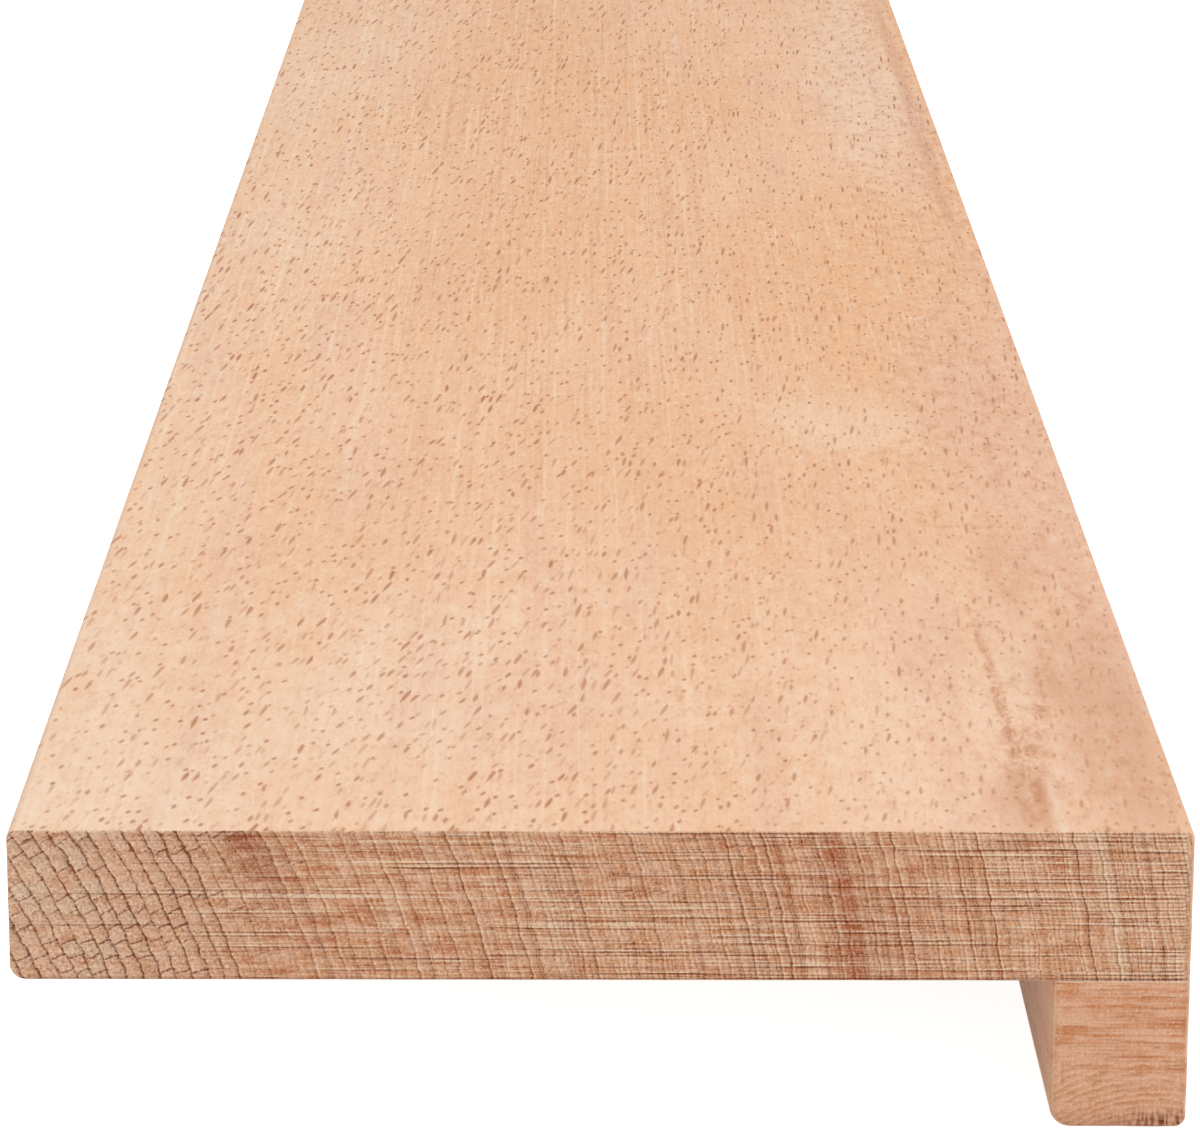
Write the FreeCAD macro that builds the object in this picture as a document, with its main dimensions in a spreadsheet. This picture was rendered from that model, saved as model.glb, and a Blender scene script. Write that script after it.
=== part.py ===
"""A beech stair tread with a deepened nosing, in millimetres.

The tread is two timbers. A wide board carries the foot. A square strip is glued under its front edge,
so that the nosing looks twice as thick and laps over the riser. The pair is glued up square, and is
moulded, sanded and cut to length as one, so here one moulded form trims both square blanks.

Frame: X runs from the back edge to the front edge, Y along the tread and Z up. The origin is under the
middle of the tread, level with the bottom of the strip.
"""

import FreeCAD, Part
import os
import Sketcher

# Driving dimensions, as alias, value and meaning
SIZES = [
    ("tread_length", 1400, "both timbers, from end to end"),
    ("tread_depth", 300, "back edge to front edge, across the grain"),
    ("board_thickness", 40, "wide board, underside to walking surface"),
    ("strip_width", 35, "glued strip, riser side to front"),
    ("strip_height", 40, "glued strip, below the board"),
    ("top_arris_radius", 2.5, "rounding of both long edges of the walking surface"),
    ("back_foot_radius", 4, "rounding of the board's lower back edge"),
    ("strip_front_radius", 3, "rounding of the strip's lower edge at the front"),
    ("strip_riser_radius", 5.5, "rounding of the strip's lower edge at the riser"),
    ("end_arris_radius", 1.2, "easing of the sawn ends, all round the profile"),
]

# Roundings along the tread, as feature, size and the profile corners that they round
ROUNDINGS = [
    ("rounded_top_arrises", "top_arris_radius", ("back_top", "front_top")),
    ("rounded_back_foot", "back_foot_radius", ("back_underside",)),
    ("rounded_strip_front", "strip_front_radius", ("front_foot",)),
    ("rounded_strip_riser_side", "strip_riser_radius", ("riser_foot",)),
]

PARTS_FOLDER = "parts"
SAME_PLACE = 1e-4
MM3_IN_CM3 = 1000


def make_sheet(doc):
    """The spreadsheet that every feature takes its sizes from."""
    sheet = doc.addObject("Spreadsheet::Sheet", "Sizes")
    for row, (alias, value, meaning) in enumerate(SIZES, start=1):
        sheet.set(f"A{row}", meaning)
        sheet.set(f"B{row}", str(value))
        sheet.setAlias(f"B{row}", alias)
    doc.recompute()
    return sheet


def profile_corners(sheet):
    """The corners of the square profile, in order round it, as name: (x, z)."""
    back, front = -sheet.tread_depth / 2, sheet.tread_depth / 2
    riser_side = front - sheet.strip_width
    underside = sheet.strip_height
    top = underside + sheet.board_thickness
    return {
        "back_underside": (back, underside),
        "riser_underside": (riser_side, underside),
        "riser_foot": (riser_side, 0),
        "front_foot": (front, 0),
        "front_top": (front, top),
        "back_top": (back, top),
    }


def draw_profile(sketch, corners):
    """Draws the profile as a closed ring of sides, each from one corner to the next."""
    points = [FreeCAD.Vector(x, z, 0) for x, z in corners.values()]
    sides = []
    for point, following in zip(points, points[1:] + points[:1]):
        sides.append(sketch.addGeometry(Part.LineSegment(point, following), False))
    return sides


def constrain_profile(sketch, sides):
    """Ties the profile to the sheet: each size moves the side that it names.

    The symmetry of the top side about the upright axis also keeps that side level.
    """
    starts, ends = 1, 2
    horizontal_axis, vertical_axis = -1, -2
    for side, following in zip(sides, sides[1:] + sides[:1]):
        sketch.addConstraint(Sketcher.Constraint("Coincident", side, ends, following, starts))
    underside, riser_side, foot, front, top, back = sides
    for side in (underside, foot):
        sketch.addConstraint(Sketcher.Constraint("Horizontal", side))
    for side in (riser_side, front, back):
        sketch.addConstraint(Sketcher.Constraint("Vertical", side))
    sketch.addConstraint(Sketcher.Constraint("PointOnObject", foot, starts, horizontal_axis))
    sketch.addConstraint(Sketcher.Constraint("Symmetric", top, ends, top, starts, vertical_axis))

    measured = {
        "tread_depth": ("DistanceX", top, ends, top, starts),
        "board_thickness": ("DistanceY", back, ends, back, starts),
        "strip_width": ("DistanceX", foot, starts, foot, ends),
        "strip_height": ("DistanceY", riser_side, ends, riser_side, starts),
    }
    for size, (kind, *between) in measured.items():
        index = sketch.addConstraint(Sketcher.Constraint(kind, *between, sketch_size(sketch, size)))
        sketch.renameConstraint(index, size)
        sketch.setExpression(f"Constraints.{size}", f"Sizes.{size}")


def sketch_size(sketch, size):
    """A size from the sheet, as the plain number that a new constraint starts with."""
    return float(getattr(sketch.Document.Sizes, size))


def long_edges(shape, corners):
    """The names of the edges that run along the tread at the given profile corners."""
    return [
        f"Edge{number}"
        for number, edge in enumerate(shape.Edges, start=1)
        for x, z in corners
        if all(
            abs(vertex.Point.x - x) < SAME_PLACE and abs(vertex.Point.z - z) < SAME_PLACE
            for vertex in edge.Vertexes
        )
    ]


def end_edges(shape, length):
    """The names of the edges round both sawn ends."""
    return [
        f"Edge{number}"
        for number, edge in enumerate(shape.Edges, start=1)
        if abs(abs(edge.CenterOfMass.y) - length / 2) < SAME_PLACE
    ]


def round_edges(doc, body, name, base, edges, size):
    """A rounding of some edges of the feature before it, with its radius in the sheet."""
    rounding = body.newObject("PartDesign::Fillet", name)
    rounding.Base = (base, edges)
    rounding.setExpression("Radius", f"Sizes.{size}")
    doc.recompute()
    return rounding


def make_moulded_form(doc, sheet):
    """The tread's outer form as it leaves the moulder and the sander, both timbers as one."""
    body = doc.addObject("PartDesign::Body", "moulded_form")
    corners = profile_corners(sheet)
    profile = body.newObject("Sketcher::SketchObject", "square_profile")
    upright_plane = next(item for item in body.Origin.OriginFeatures if item.Role == "XZ_Plane")
    profile.AttachmentSupport = [(upright_plane, "")]
    profile.MapMode = "FlatFace"
    constrain_profile(profile, draw_profile(profile, corners))
    doc.recompute()

    feature = body.newObject("PartDesign::Pad", "square_stock")
    feature.Profile = profile
    feature.SideType = "Symmetric"
    feature.setExpression("Length", "Sizes.tread_length")
    doc.recompute()

    for name, size, rounded in ROUNDINGS:
        edges = long_edges(feature.Shape, [corners[corner] for corner in rounded])
        feature = round_edges(doc, body, name, feature, edges, size)
    edges = end_edges(feature.Shape, sheet.tread_length)
    round_edges(doc, body, "eased_ends", feature, edges, "end_arris_radius")
    return body


def make_blank(doc, name, sizes, place):
    """A square-sawn blank, sized and placed by formulas on the sheet."""
    blank = doc.addObject("Part::Box", name)
    for side, formula in zip(("Length", "Width", "Height"), sizes):
        blank.setExpression(side, formula)
    for axis, formula in zip("xyz", place):
        blank.setExpression(f"Placement.Base.{axis}", formula)
    return blank


def make_timber(doc, name, blank, moulded_form):
    """A finished timber: what moulding leaves of its square blank.

    It isn't refined, so on the board's underside the glued land stays a face of its own, apart from
    the seat for the strings.
    """
    timber = doc.addObject("Part::Common", name)
    timber.Label = name
    timber.Base = blank
    timber.Tool = moulded_form
    timber.Refine = False
    return timber


def make_tread_board(doc, moulded_form):
    """The wide board, whose underside rests on the string and the riser."""
    blank = make_blank(
        doc,
        "board_blank",
        ("Sizes.tread_depth", "Sizes.tread_length", "Sizes.board_thickness"),
        ("-Sizes.tread_depth / 2", "-Sizes.tread_length / 2", "Sizes.strip_height"),
    )
    return make_timber(doc, "tread_board", blank, moulded_form)


def make_nosing_strip(doc, moulded_form):
    """The strip that is glued face to face under the board, flush with its front edge."""
    blank = make_blank(
        doc,
        "strip_blank",
        ("Sizes.strip_width", "Sizes.tread_length", "Sizes.strip_height"),
        ("Sizes.tread_depth / 2 - Sizes.strip_width", "-Sizes.tread_length / 2", "0"),
    )
    return make_timber(doc, "nosing_strip", blank, moulded_form)


def check(doc, timbers):
    """Stops the script where a feature has failed or a timber isn't one valid solid."""
    for item in doc.Objects:
        if "Invalid" in item.State or "Error" in item.State:
            raise RuntimeError(f"{item.Name} failed: {item.State}")
    for timber in timbers:
        shape = timber.Shape
        if shape.isNull() or not shape.isValid() or len(shape.Solids) != 1:
            raise RuntimeError(f"{timber.Label} isn't one valid solid")
        box = shape.optimalBoundingBox()
        print(
            f"{timber.Label}: {shape.Volume / MM3_IN_CM3:.1f} cm3, {len(shape.Faces)} faces,",
            f"x {box.XMin:.2f} to {box.XMax:.2f}, y {box.YMin:.2f} to {box.YMax:.2f},",
            f"z {box.ZMin:.2f} to {box.ZMax:.2f}",
        )


def main():
    doc = FreeCAD.newDocument("stair_tread")
    sheet = make_sheet(doc)
    moulded_form = make_moulded_form(doc, sheet)
    timbers = [make_tread_board(doc, moulded_form), make_nosing_strip(doc, moulded_form)]
    doc.recompute()
    check(doc, timbers)

    os.makedirs(PARTS_FOLDER, exist_ok=True)
    for timber in timbers:
        timber.Shape.exportStep(os.path.join(PARTS_FOLDER, f"{timber.Label}.step"))


main()
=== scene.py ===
# %% [markdown]
# This lesson gives a beech stair tread its finish. The tread is a wide board with a square strip glued
# under its front edge, so that the nosing looks twice as thick. Both timbers are moulded, sanded and
# sawn to length. Their plain solids are loaded first, because all that follows has to lie inside them.

# %% Load the solids
import math

import bpy
import numpy as np
from mathutils import Matrix, Vector


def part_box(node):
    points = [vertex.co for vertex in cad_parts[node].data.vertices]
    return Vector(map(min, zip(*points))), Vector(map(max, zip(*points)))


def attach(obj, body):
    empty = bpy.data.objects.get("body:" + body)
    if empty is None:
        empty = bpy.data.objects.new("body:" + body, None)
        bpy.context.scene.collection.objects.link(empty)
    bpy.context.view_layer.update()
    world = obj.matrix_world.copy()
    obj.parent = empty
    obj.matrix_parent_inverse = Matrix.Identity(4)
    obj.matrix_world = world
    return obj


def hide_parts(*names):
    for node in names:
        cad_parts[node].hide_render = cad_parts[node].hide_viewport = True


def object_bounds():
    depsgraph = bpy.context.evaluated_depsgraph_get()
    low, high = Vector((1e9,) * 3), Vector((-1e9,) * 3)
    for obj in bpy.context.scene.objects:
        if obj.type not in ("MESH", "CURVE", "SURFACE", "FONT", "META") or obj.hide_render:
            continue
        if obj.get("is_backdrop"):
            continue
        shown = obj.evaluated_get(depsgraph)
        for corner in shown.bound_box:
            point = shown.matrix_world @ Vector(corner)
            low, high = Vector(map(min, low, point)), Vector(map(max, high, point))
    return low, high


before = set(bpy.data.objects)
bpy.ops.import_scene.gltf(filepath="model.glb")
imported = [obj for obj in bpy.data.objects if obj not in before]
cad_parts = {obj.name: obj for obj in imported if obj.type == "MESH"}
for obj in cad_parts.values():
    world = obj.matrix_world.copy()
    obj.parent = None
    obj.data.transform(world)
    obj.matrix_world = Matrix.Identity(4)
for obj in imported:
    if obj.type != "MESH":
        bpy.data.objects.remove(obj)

MM = 0.001
solid_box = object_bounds()
print("solids reach from", *([round(side, 4) for side in corner] for corner in solid_box))

# %% [markdown]
# The photograph looks along the tread from about 1.2 m before its near end, from a little above. A long
# lens keeps the sides from spreading. The camera could be placed by eye, but the four corners of the
# sawn end and the two long edges fix its height, its tilt and its focal length, so those are written
# down here as measured values.

# %% Camera
PHOTO_WIDTH = 1200
FOCAL_LENGTH_IN_PIXELS = 5033
SENSOR_WIDTH = 36.0
CAMERA_PLACE = Vector((-2.8, -1905.4, 478.5)) * MM
LOOKING_DOWN = math.radians(15.282)
TURNED_RIGHT = math.radians(0.1133)
ROLLED = math.radians(0.1231)


def add_object(name, data):
    """A new object, linked into the scene."""
    made = bpy.data.objects.new(name, data)
    bpy.context.scene.collection.objects.link(made)
    return made


camera = add_object("camera", bpy.data.cameras.new("camera"))
camera.data.sensor_width = SENSOR_WIDTH
camera.data.lens = FOCAL_LENGTH_IN_PIXELS * SENSOR_WIDTH / PHOTO_WIDTH
turn = (
    Matrix.Rotation(-TURNED_RIGHT, 4, "Z")
    @ Matrix.Rotation(math.pi / 2 - LOOKING_DOWN, 4, "X")
    @ Matrix.Rotation(ROLLED, 4, "Z")
)
camera.matrix_world = Matrix.Translation(CAMERA_PLACE) @ turn
bpy.context.scene.camera = camera
print(f"lens {camera.data.lens:.1f} mm")

# %% [markdown]
# A socket of a node can only be linked, so a long recipe soon turns into a tangle of links. Here a small
# class wraps a socket, and its plus, minus and times signs add the node that does the sum. After this
# cell, a pattern in the wood is written as one formula that a reader can follow.

# %% Formulas that add nodes
class Field:
    """A number that differs from place to place in the wood. Arithmetic with it adds nodes."""

    def __init__(self, socket):
        self.socket = socket
        self.tree = socket.id_data

    def reckon(self, operation, *others):
        """What a Math node makes of this number and the others."""
        node = self.tree.nodes.new("ShaderNodeMath")
        node.operation = operation
        feed(node.inputs, self, *others)
        return Field(node.outputs[0])

    def __add__(self, other):
        return self.reckon("ADD", other)

    def __sub__(self, other):
        return self.reckon("SUBTRACT", other)

    def __mul__(self, other):
        return self.reckon("MULTIPLY", other)

    def __truediv__(self, other):
        return self.reckon("DIVIDE", other)

    def __pow__(self, other):
        return self.reckon("POWER", other)

    def __rsub__(self, other):
        return self * -1 + other

    def vector(self, operation, *others):
        """What a Vector Math node makes of this place and the others."""
        node = self.tree.nodes.new("ShaderNodeVectorMath")
        node.operation = operation
        feed(node.inputs, self, *others)
        return Field(node.outputs["Value" if operation == "DOT_PRODUCT" else "Vector"])

    def axes(self):
        """The x, y and z of this place."""
        node = self.tree.nodes.new("ShaderNodeSeparateXYZ")
        feed(node.inputs, self)
        return [Field(socket) for socket in node.outputs]

    def size(self):
        """The number without its sign."""
        return self.reckon("ABSOLUTE")

    def whole(self):
        """The whole number below it."""
        return self.reckon("FLOOR")

    def part(self):
        """What is left above that whole number."""
        return self.reckon("FRACT")


def feed(sockets, *values):
    """Gives each socket a link from a field, or a plain value of its own."""
    for socket, value in zip(sockets, values):
        if isinstance(value, Field):
            socket.id_data.links.new(value.socket, socket)
        else:
            socket.default_value = value


def rise(value, low, high, full=1.0):
    """0 up to low and full from high on, smooth between. With low above high it falls instead."""
    node = value.tree.nodes.new("ShaderNodeMapRange")
    node.interpolation_type = "SMOOTHSTEP"
    feed(node.inputs, value, low, high, 0.0, full)
    return Field(node.outputs[0])


def bump_at(value, middle, reach):
    """1 where the value is at the middle, falling to 0 at the reach on both sides."""
    return rise((value - middle).size(), reach, 0.0)


def point(x, y, z):
    """Three fields or plain numbers as one vector."""
    node = x.tree.nodes.new("ShaderNodeCombineXYZ")
    feed(node.inputs, x, y, z)
    return Field(node.outputs[0])


# %% [markdown]
# Wood is never even, so most patterns below start from noise. Noise is stretched by dividing each
# direction by the length that one lump should have in millimetres. Along the grain that length is ten
# or twenty times as long as across it.

# %% Noise that is measured in millimetres
NOISE_MIDDLE = 0.5
NOISE_GAIN = 4.0


def stretched(place, lengths, shift=(0, 0, 0)):
    """The place with each direction divided by a length, and shifted, so that two patterns differ."""
    return place.vector("MULTIPLY_ADD", [1 / length for length in lengths], shift)


def noise(place, lump, detail=0.0, roughness=0.5, shift=(0, 0, 0)):
    """Smooth noise of about -1 to 1 in lumps of the given lengths."""
    node = place.tree.nodes.new("ShaderNodeTexNoise")
    sockets = [node.inputs[name] for name in ("Vector", "Scale", "Detail", "Roughness")]
    feed(sockets, stretched(place, lump, shift), 1.0, detail, roughness)
    return Field(node.outputs["Fac"]).reckon("MULTIPLY_ADD", NOISE_GAIN, -NOISE_MIDDLE * NOISE_GAIN)


def chance(number):
    """One random value from 0 to 1 for each whole number."""
    node = number.tree.nodes.new("ShaderNodeTexWhiteNoise")
    node.noise_dimensions = "1D"
    feed([node.inputs["W"]], number)
    return Field(node.outputs["Value"])


def blend(first, second, share):
    """The colour between two colours."""
    node = share.tree.nodes.new("ShaderNodeMix")
    node.data_type = "RGBA"
    colours = [socket for socket in node.inputs if socket.type == "RGBA"]
    feed([node.inputs["Factor"]] + colours, share, first, second)
    return Field(next(socket for socket in node.outputs if socket.type == "RGBA"))


def linear(red, green, blue):
    """A colour as it is read off a screen, from 0 to 255, for Blender's linear sockets."""
    return tuple(channel_to_linear(channel / 255) for channel in (red, green, blue)) + (1.0,)


def channel_to_linear(channel):
    """Takes the curve of a screen off one channel."""
    return channel / 12.92 if channel <= 0.04045 else ((channel + 0.055) / 1.055) ** 2.4


# %% [markdown]
# The background of the photograph is pure white. A lamp bright enough to bleach the floor would bleach
# the tread as well, so the floor glows a little for the camera only. It still takes the light that
# falls on it, and a soft shadow stays under the tread. Rays that light the tread see a plain pale floor.

# %% Floor
FLOOR_SIDE = 24.0
FLOOR_GLOW = 0.9
FLOOR_COLOUR = (0.8, 0.8, 0.8, 1.0)


def seen_directly(tree):
    """1 for rays from the camera and for rays that came off gloss or glass, otherwise 0."""
    path = tree.nodes.new("ShaderNodeLightPath")
    seen = Field(path.outputs["Is Camera Ray"])
    for kind in ("Is Glossy Ray", "Is Transmission Ray"):
        seen = seen.reckon("MAXIMUM", Field(path.outputs[kind]))
    return seen


floor_mesh = bpy.data.meshes.new("floor")
half = FLOOR_SIDE / 2
floor_corners = [(-half, -half, 0), (half, -half, 0), (half, half, 0), (-half, half, 0)]
floor_mesh.from_pydata(floor_corners, [], [(0, 1, 2, 3)])
floor = add_object("floor", floor_mesh)
floor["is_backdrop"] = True

floor_look = bpy.data.materials.new("pale_floor")
floor_look.use_nodes = True
floor_tree = floor_look.node_tree
floor_tree.nodes.clear()
matt = floor_tree.nodes.new("ShaderNodeBsdfDiffuse")
glow = floor_tree.nodes.new("ShaderNodeEmission")
both = floor_tree.nodes.new("ShaderNodeAddShader")
output = floor_tree.nodes.new("ShaderNodeOutputMaterial")
feed([matt.inputs["Color"]], FLOOR_COLOUR)
feed([glow.inputs["Strength"]], seen_directly(floor_tree) * FLOOR_GLOW)
feed(both.inputs, Field(matt.outputs[0]), Field(glow.outputs[0]))
feed([output.inputs["Surface"]], Field(both.outputs[0]))
floor_mesh.materials.append(floor_look)

# %% [markdown]
# A studio lights such a catalogue picture with large soft boxes. Most of the light here comes evenly
# from all round, one big lamp overhead makes the walking surface the brightest face, and a weaker one
# from the front and right lifts the sawn end. Together they bring a colour out about as it is written.

# %% Light
bpy.context.scene.view_settings.view_transform = "Standard"

SURROUND_LEVEL = 0.56
WHITE_LEVEL = 1.0

# Name, place, aim, side and watts of each lamp
OVERHEAD = ("overhead_lamp", (0.1, -0.2, 2.6), (0.0, -0.1, 0.0), 2.6, 24.0)
FRONT = ("front_lamp", (1.3, -3.0, 1.5), (0.0, -0.6, 0.05), 1.6, 20.0)

world = bpy.data.worlds.new("studio")
bpy.context.scene.world = world
world.use_nodes = True
sky = world.node_tree.nodes["Background"]
feed(
    [sky.inputs["Color"], sky.inputs["Strength"]],
    (1.0, 1.0, 1.0, 1.0),
    seen_directly(world.node_tree) * (WHITE_LEVEL - SURROUND_LEVEL) + SURROUND_LEVEL,
)


def hang_lamp(name, place, aim, side, watts):
    """A square soft box at a place, turned towards its aim."""
    lamp = add_object(name, bpy.data.lights.new(name, "AREA"))
    lamp.data.size = side
    lamp.data.energy = watts
    lamp.location = place
    lamp.rotation_euler = (Vector(aim) - Vector(place)).to_track_quat("-Z", "Y").to_euler()
    lamp.visible_camera = False


hang_lamp(*OVERHEAD)
hang_lamp(*FRONT)

# %% [markdown]
# Each timber is a long bar with rounded long edges and eased ends. Extruding a profile and bevelling it
# gives that form, but the bevel is then equally wide all round. A sanding block takes more off the
# corners that are easy to reach, so the bars here are built ring by ring: an outline of points is
# repeated along the tread, and drawn in a little at the ends. First comes the outline, whose corners
# are arcs. The corner of the point grid lies at the middle of each arc.

# %% Outline of a timber
SIDE_DIRECTIONS = {
    "bottom": ((1, 0), (0, -1)),
    "front": ((0, 1), (1, 0)),
    "top": ((-1, 0), (0, 1)),
    "back": ((0, -1), (-1, 0)),
}
CORNER_BEFORE = {"bottom": "back_foot", "front": "front_foot", "top": "front_top", "back": "back_top"}


def corner_turn(distance, radius):
    """How far the outline has turned away from a side, this far from the side's corner.

    At the corner each of the two sides has taken half of the right angle.
    """
    if radius == 0:
        return np.zeros_like(distance)
    return math.pi / 4 * np.clip(1 - distance / radius, 0, 1)


def side_points(corner, length, direction, outward, spacing, radius, next_radius):
    """The points of one side of an outline and the way that each one faces, in x and z."""
    corner, direction, outward = (np.array(pair, float) for pair in (corner, direction, outward))
    along = spacing * length
    turn, next_turn = corner_turn(along, radius), corner_turn(length - along, next_radius)
    along = np.where(turn > 0, radius - radius * np.sin(turn), along)
    along = np.where(next_turn > 0, length - next_radius + next_radius * np.sin(next_turn), along)
    depth = radius * (1 - np.cos(turn)) + next_radius * (1 - np.cos(next_turn))
    places = corner + along[:, None] * direction - depth[:, None] * outward
    facing = np.cos(turn + next_turn)[:, None] * outward + np.sin(next_turn - turn)[:, None] * direction
    return places, facing


def outline(low, high, radii, across, upright):
    """A closed outline, anticlockwise from the back foot: places, facings and the side of each point."""
    corners = {"bottom": low, "front": (high[0], low[1]), "top": high, "back": (low[0], high[1])}
    lengths = {"bottom": high[0] - low[0], "front": high[1] - low[1]}
    lengths |= {"top": lengths["bottom"], "back": lengths["front"]}
    spacings = {"bottom": across, "front": upright, "top": 1 - across[::-1], "back": 1 - upright[::-1]}
    sides = list(SIDE_DIRECTIONS)
    places, facings, names = [], [], []
    for side, following in zip(sides, sides[1:] + sides[:1]):
        made = side_points(
            corners[side],
            lengths[side],
            *SIDE_DIRECTIONS[side],
            spacings[side],
            radii[CORNER_BEFORE[side]],
            radii[CORNER_BEFORE[following]],
        )
        places.append(made[0][:-1])
        facings.append(made[1][:-1])
        names += [side] * (len(made[0]) - 1)
    return np.concatenate(places), np.concatenate(facings), np.array(names)


# %% [markdown]
# The points crowd together where an edge is rounded and are wider apart on the flats. On the sawn end
# the rows are only a quarter of a millimetre apart, so that the marks of the saw can be real grooves in
# the mesh and not only a pattern on it. Both timbers are 40 mm high, so they share one upright spacing.

# %% Spacing of the points
DEPTH, STRIP_WIDTH, HEIGHT = 300.0, 35.0, 40.0
EDGE = 6.0


def crowded(length, edge_steps, steps):
    """Shares of a length from 0 to 1, with small steps within the edge at both ends."""
    near = np.linspace(0, EDGE, edge_steps + 1)
    middle = np.linspace(EDGE, length - EDGE, steps + 1)
    return np.concatenate([near, middle[1:-1], length - near[::-1]]) / length


BOARD_ACROSS = crowded(DEPTH, edge_steps=8, steps=148)
STRIP_ACROSS = crowded(STRIP_WIDTH, edge_steps=10, steps=34)
UPRIGHT = crowded(HEIGHT, edge_steps=22, steps=116)
counts = [len(spacing) for spacing in (BOARD_ACROSS, STRIP_ACROSS, UPRIGHT)]
print("points across the board, across the strip and up each timber:", *counts)

# %% [markdown]
# The sawn end has to be filled with a grid whose rim is the outline. Scaling a square grid would spoil
# the rounded corners. A patch that blends the four sides keeps every rim point and spreads the rest
# evenly between them, and it needs only sums.

# %% Grid inside an outline
def fill_outline(places, columns, rows):
    """A grid of points whose rim is the given outline, indexed by row and column."""
    bottom = places[: columns + 1]
    front = places[columns : columns + rows + 1]
    top = places[columns + rows : 2 * columns + rows + 1][::-1]
    back = np.concatenate([places[2 * columns + rows :], places[:1]])[::-1]
    across = np.linspace(0, 1, columns + 1)[None, :, None]
    up = np.linspace(0, 1, rows + 1)[:, None, None]
    between_sides = (1 - across) * back[:, None] + across * front[:, None]
    between_ends = (1 - up) * bottom[None] + up * top[None]
    low_corners = (1 - across) * bottom[0] + across * bottom[-1]
    high_corners = (1 - across) * top[0] + across * top[-1]
    corners = (1 - up) * low_corners + up * high_corners
    return between_sides + between_ends - corners


# %% [markdown]
# A circular saw leaves straight scratches that run the length of its cut, one or more for each step of
# the feed: a groove cut by a tooth, with a ridge beside it. They are few where the board left
# the saw, at the back, and close together at the nosing. Every mark is drawn at random with a fixed
# seed, apart from a handful of long ones that stand out.

# %% Marks of the saw
SAW_SEED = 4
SAW_FEED = 1.02
FEED_SCATTER = 0.12
SAW_DEPTH = 0.05
MARK_THICKNESS = 0.36
THICKNESS_SPREAD = (0.85, 1.25)
SLOPE_SCATTER = 0.007
GROOVE_STRENGTHS = (0.2, 1.0)
RIDGE_STRENGTHS = (0.1, 1.0)
RIDGE_ABOVE_GROOVE = 0.42
TOWARDS_NOSING = 0.75

# Middle x, middle z, length, thickness, slope and height of each long mark
LONG_SAW_MARKS = [
    (-74.0, 62.7, 74.0, 1.1, 0.0, 1.0),
    (-30.0, 62.2, 120.0, 0.4, 0.0, 0.8),
    (-50.0, 77.2, 90.0, 0.38, 0.0, 0.9),
    (-66.0, 70.9, 66.0, 0.38, 0.0, 0.8),
    (-45.0, 59.4, 100.0, 0.36, 0.0, 0.7),
    (-50.0, 53.1, 90.0, 0.4, -0.012, 0.8),
    (2.0, 55.0, 70.0, 0.5, 0.0, 1.0),
    (10.0, 50.3, 80.0, 0.36, 0.0, 0.8),
    (110.0, 75.3, 96.0, 0.36, 0.0, 0.9),
    (110.0, 74.8, 96.0, 0.4, 0.0, -1.0),
    (-104.0, 77.3, 96.0, 0.4, 0.0, -0.7),
    (-112.0, 74.2, 60.0, 0.36, 0.0, -0.5),
    (-104.0, 68.9, 60.0, 0.4, 0.0, -0.5),
    (-96.0, 62.3, 66.0, 0.4, 0.0, 0.7),
    (-92.0, 47.6, 70.0, 0.36, 0.0, -0.5),
]


def draw_saw_marks(seed, low, high, lengths, marks_per_step):
    """Marks as rows like those of the long ones, with a height below nought in a groove."""
    random = np.random.default_rng(seed)
    steps = np.arange(low[1], high[1], SAW_FEED)
    number = len(steps) * marks_per_step
    middle = low[0] + random.random(number) ** TOWARDS_NOSING * (high[0] - low[0])
    height = np.repeat(steps, marks_per_step) + random.normal(0, FEED_SCATTER, number)
    length = random.uniform(*lengths, number)
    slope = random.normal(0, SLOPE_SCATTER, number)
    strength = random.uniform(*GROOVE_STRENGTHS, number)
    thickness = MARK_THICKNESS * random.uniform(*THICKNESS_SPREAD, number)
    grooves = np.column_stack([middle, height, length, thickness, slope, -strength])
    strength = random.uniform(*RIDGE_STRENGTHS, number)
    ridges = np.column_stack([middle, height + RIDGE_ABOVE_GROOVE, length, thickness, slope, strength])
    return np.concatenate([grooves, ridges])


def saw_relief(places, marks):
    """The height of the sawn surface at places x and z, from about -1 in a groove to 1 on a ridge."""
    height = np.zeros(len(places))
    for middle_x, middle_z, length, thickness, slope, strength in marks:
        beside = places[:, 0] - middle_x
        away = (places[:, 1] - middle_z - slope * beside) / (thickness / 2)
        along = np.clip(1 - (beside / (length / 2)) ** 2, 0, 1)
        height += strength * along * np.exp(-(away**2))
    return np.clip(height, -1, 1)


# %% [markdown]
# A mesh is a list of points and a list of faces that name their points by number. Belts of faces join
# the rings of points, and the sawn end is a grid, whose rim is numbered in the order of the outline, so
# that the first belt fits on to it.

# %% Faces between points
def ring_faces(first, second):
    """Faces between two rings of point numbers, the second one further along the tread."""
    return np.column_stack([first, second, np.roll(second, -1), np.roll(first, -1)])


def grid_faces(columns, rows):
    """Faces of a point grid, seen anticlockwise from the near end."""
    start = (np.arange(rows)[:, None] * (columns + 1) + np.arange(columns)[None]).ravel()
    return np.column_stack([start, start + 1, start + columns + 2, start + columns + 1])


def rim_numbers(columns, rows):
    """Point numbers round the rim of a grid, in the order of the outline."""
    grid = np.arange((columns + 1) * (rows + 1)).reshape(rows + 1, columns + 1)
    return np.concatenate([grid[0, :-1], grid[:-1, -1], grid[-1, :0:-1], grid[:0:-1, 0]])


# %% [markdown]
# Now the bar itself. The sawn end is the filled outline, then come a few rings that turn round the eased
# arris, then plain rings along the length whose rounded edges grow and shrink a little, as a hand sander
# leaves them. The faces of the end and of its easing are numbered for finishes of their own, because
# sawn wood looks quite unlike planed wood.

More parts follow.
